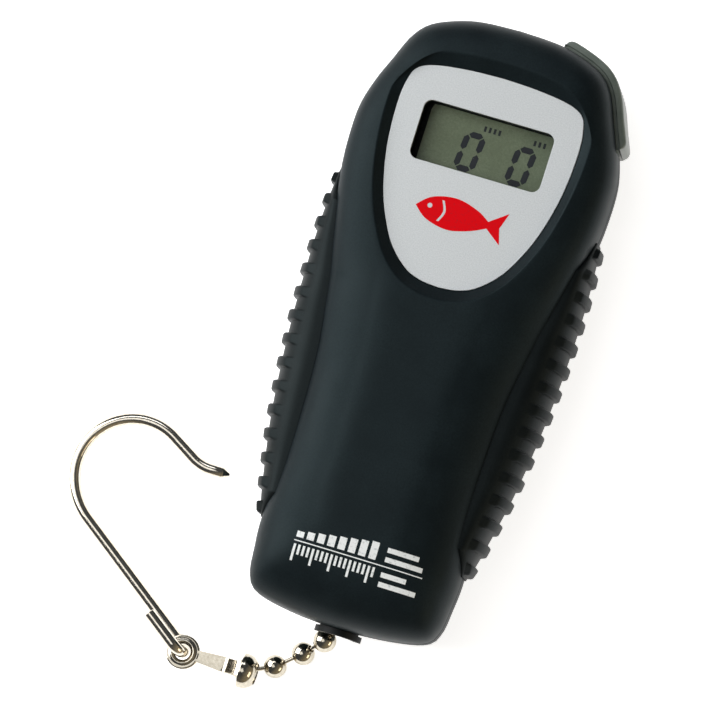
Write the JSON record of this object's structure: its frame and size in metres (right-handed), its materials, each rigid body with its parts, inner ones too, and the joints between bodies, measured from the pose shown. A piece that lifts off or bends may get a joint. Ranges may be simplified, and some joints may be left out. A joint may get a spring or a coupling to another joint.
{
  "type": "digital fish scale",
  "caption": "Hand-held digital fish scale with a display head, ribbed side grips, a corner power button, and a wire hook on a ball chain.",
  "frame": {"origin": "centre of the flat rest area on the back, on the plane of symmetry of the housing", "axes": "+Z out of the display, +Y towards the head, +X to the right as seen facing the display"},
  "size_m": [0.093, 0.1426, 0.025],
  "materials": {
    "charcoal_plastic": "satin soft-touch moulded",
    "black_plastic": "fine matte moulded",
    "silver_plate": "fine-grained silver",
    "clear_lens": "polished clear",
    "lcd_cell": "grey-green liquid crystal cell",
    "lcd_segments": "dark liquid crystal segments",
    "zebra_rubber": "layered contact strip",
    "board_green": "solder mask",
    "board_parts": "ceramic and tin",
    "zinc_steel": "zinc-plated",
    "grey_button": "semi-matte translucent grey",
    "black_rubber": "matte overmoulded",
    "cell_wrap": "printed film sleeve",
    "spring_steel": "nickel-plated",
    "lead_sheath": "PVC sheath",
    "beam_aluminium": "milled",
    "gauge_foil": "polyimide film",
    "nickel_steel": "bright nickel plate"
  },
  "bodies": {
    "housing": {"front_shell": "charcoal_plastic", "rear_shell": "charcoal_plastic", "chain_gland": "black_plastic", "face_plate": "silver_plate", "window_lens": "clear_lens", "lcd_glass": "lcd_cell", "lcd_digits": "lcd_segments", "lcd_frame": "black_plastic", "zebra_strips": "zebra_rubber", "main_board": "board_green", "board_chip": "black_plastic", "board_parts": "board_parts", "tact_switch": "black_plastic", "board_screws": "zinc_steel", "left_grip": "black_rubber", "right_grip": "black_rubber", "battery_a": "cell_wrap", "battery_b": "cell_wrap", "battery_springs": "spring_steel", "battery_tabs": "spring_steel", "battery_leads": "lead_sheath", "load_beam": "beam_aluminium", "strain_gauges": "gauge_foil", "beam_screws": "zinc_steel", "load_link": "zinc_steel", "cell_lead": "lead_sheath", "case_screws": "zinc_steel", "anchor_rivet": "nickel_steel", "anchor_ball": "nickel_steel"},
    "button": {"power_button": "grey_button"},
    "door": {"battery_door": "charcoal_plastic"},
    "pin_1": {"link_pin_1": "nickel_steel"},
    "ball_1": {"chain_ball_1": "nickel_steel"},
    "pin_2": {"link_pin_2": "nickel_steel"},
    "ball_2": {"chain_ball_2": "nickel_steel"},
    "pin_3": {"link_pin_3": "nickel_steel"},
    "ball_3": {"chain_ball_3": "nickel_steel"},
    "pin_4": {"link_pin_4": "nickel_steel"},
    "ball_end": {"end_ball": "nickel_steel"},
    "coupling": {"bell_cup": "nickel_steel", "eye_strap": "nickel_steel"},
    "hook": {"hook": "nickel_steel"}
  },
  "joints": [
    {"name": "button_press", "type": "slide", "parent": "housing", "child": "button", "axis": [-0.8192, -0.5736, 0], "range_m": [0, 0.0005], "stiffness_N_per_m": 600, "springref_m": -0.0002},
    {"name": "battery_door_off", "type": "slide", "parent": "housing", "child": "door", "axis": [0, 0, -1], "range_m": [0, 0.006]},
    {"name": "link_1_turn", "type": "hinge", "parent": "housing", "child": "pin_1", "pos_m": [-0.00093, -0.062, 0.00796], "axis": [0, 0, 1], "range_deg": [-4, 16]},
    {"name": "link_1_lift", "type": "hinge", "parent": "pin_1", "child": "ball_1", "pos_m": [-0.00165, -0.06325, 0.00699], "axis": [-0.866, 0.5, 0], "range_deg": [-8, 16]},
    {"name": "link_2_turn", "type": "hinge", "parent": "ball_1", "child": "pin_2", "pos_m": [-0.00397, -0.06613, 0.00455], "axis": [0, 0, 1], "range_deg": [-4, 16]},
    {"name": "link_2_lift", "type": "hinge", "parent": "pin_2", "child": "ball_2", "pos_m": [-0.00505, -0.06712, 0.00363], "axis": [-0.6743, 0.7385, 0], "range_deg": [-16, 16]},
    {"name": "link_3_turn", "type": "hinge", "parent": "ball_2", "child": "pin_3", "pos_m": [-0.00812, -0.06988, 0.00244], "axis": [0, 0, 1], "range_deg": [-4, 16]},
    {"name": "link_3_lift", "type": "hinge", "parent": "pin_3", "child": "ball_3", "pos_m": [-0.00942, -0.07103, 0.00244], "axis": [-0.6639, 0.7478, 0], "range_deg": [-16, 16]},
    {"name": "link_4_turn", "type": "hinge", "parent": "ball_3", "child": "pin_4", "pos_m": [-0.01303, -0.0735, 0.00289], "axis": [0, 0, 1], "range_deg": [0, 20]},
    {"name": "link_4_lift", "type": "hinge", "parent": "pin_4", "child": "ball_end", "pos_m": [-0.01456, -0.07426, 0.00324], "axis": [-0.4509, 0.8926, 0], "range_deg": [-4, 16]},
    {"name": "bell_swivel", "type": "hinge", "parent": "ball_end", "child": "coupling", "pos_m": [-0.0165, -0.07525, 0.00368], "axis": [-1, 0, 0], "range_deg": [-90, 90]},
    {"name": "hook_swing", "type": "hinge", "parent": "coupling", "child": "hook", "pos_m": [-0.0297, -0.07525, 0.00368], "axis": [0, 0, 1], "range_deg": [-4, 80]}
  ]
}
